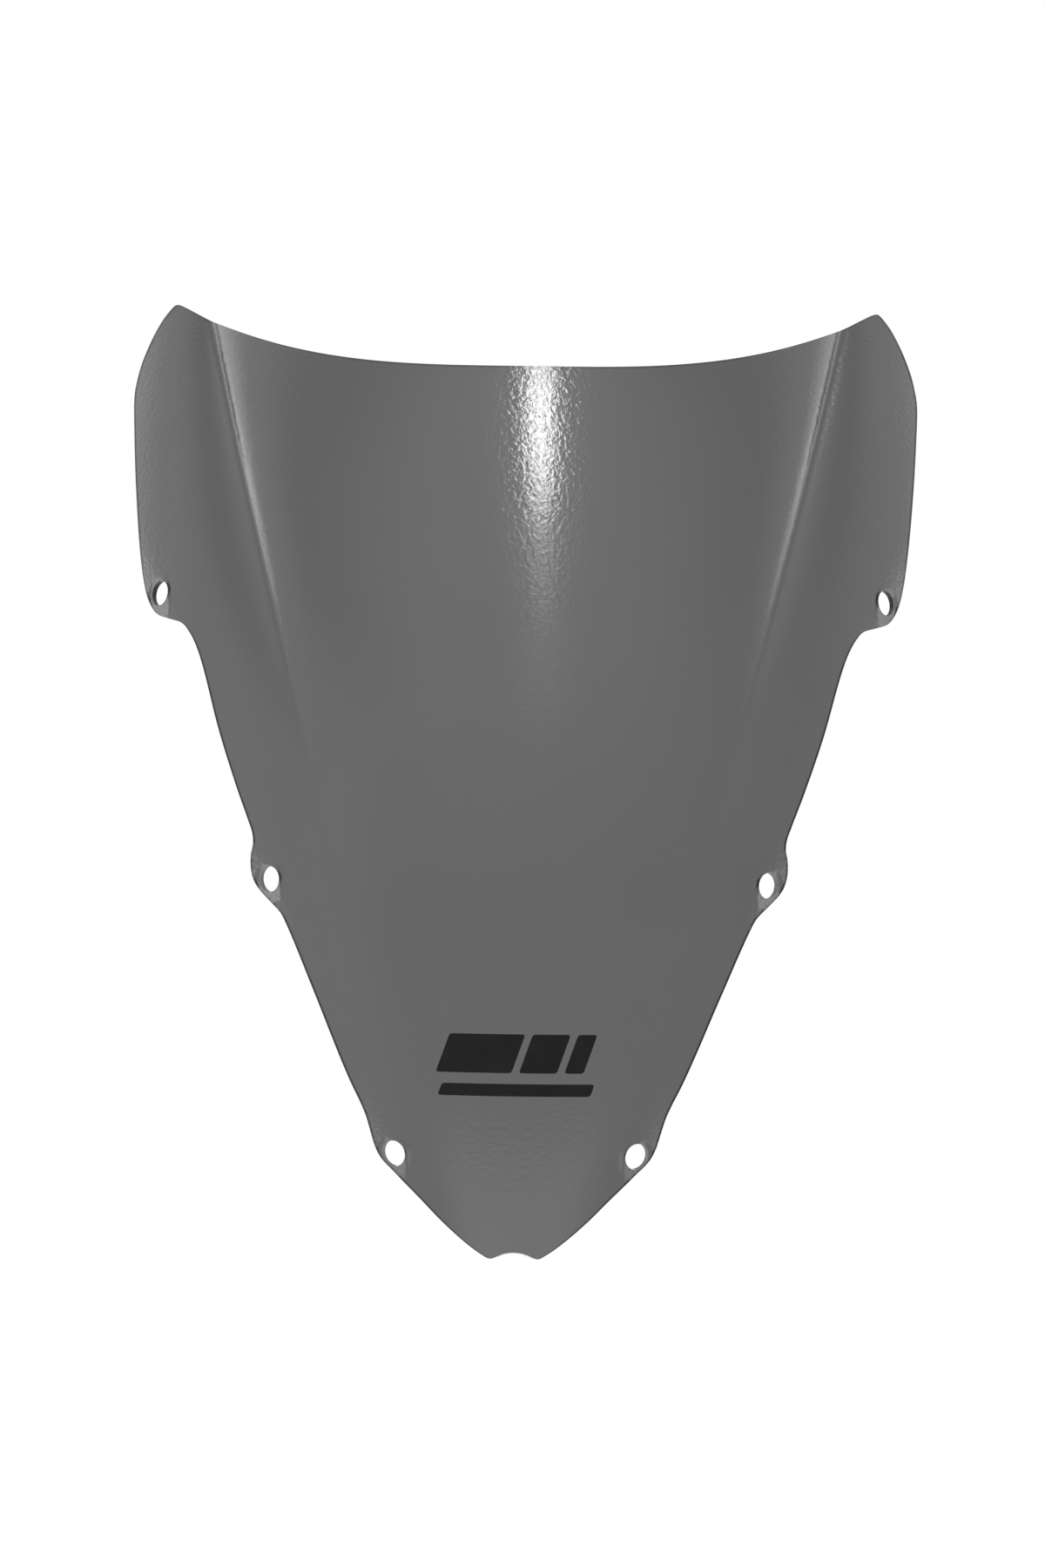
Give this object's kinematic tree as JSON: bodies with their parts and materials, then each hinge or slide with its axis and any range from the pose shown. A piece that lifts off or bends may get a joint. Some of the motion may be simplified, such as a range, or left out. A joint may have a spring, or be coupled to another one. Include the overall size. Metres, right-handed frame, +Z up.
{
  "type": "motorcycle windscreen",
  "caption": "Tinted clear windscreen for a faired sport motorcycle: a domed V-shaped sheet with flared ears, a notched nose and open fastener holes along its edge.",
  "frame": {"origin": "centreline of the outer face, level with the two tips of the nose", "axes": "+X to the right of someone facing the outer face, -Y the way the outer face looks, +Z up from the nose to the ears"},
  "size_m": [0.3848, 0.1892, 0.451],
  "materials": {
    "smoke_acrylic": "polished",
    "black_film": "satin"
  },
  "bodies": {
    "root": {"screen_panel": "smoke_acrylic", "emblem_film": "black_film", "stripe_film": "black_film"}
  },
  "joints": []
}
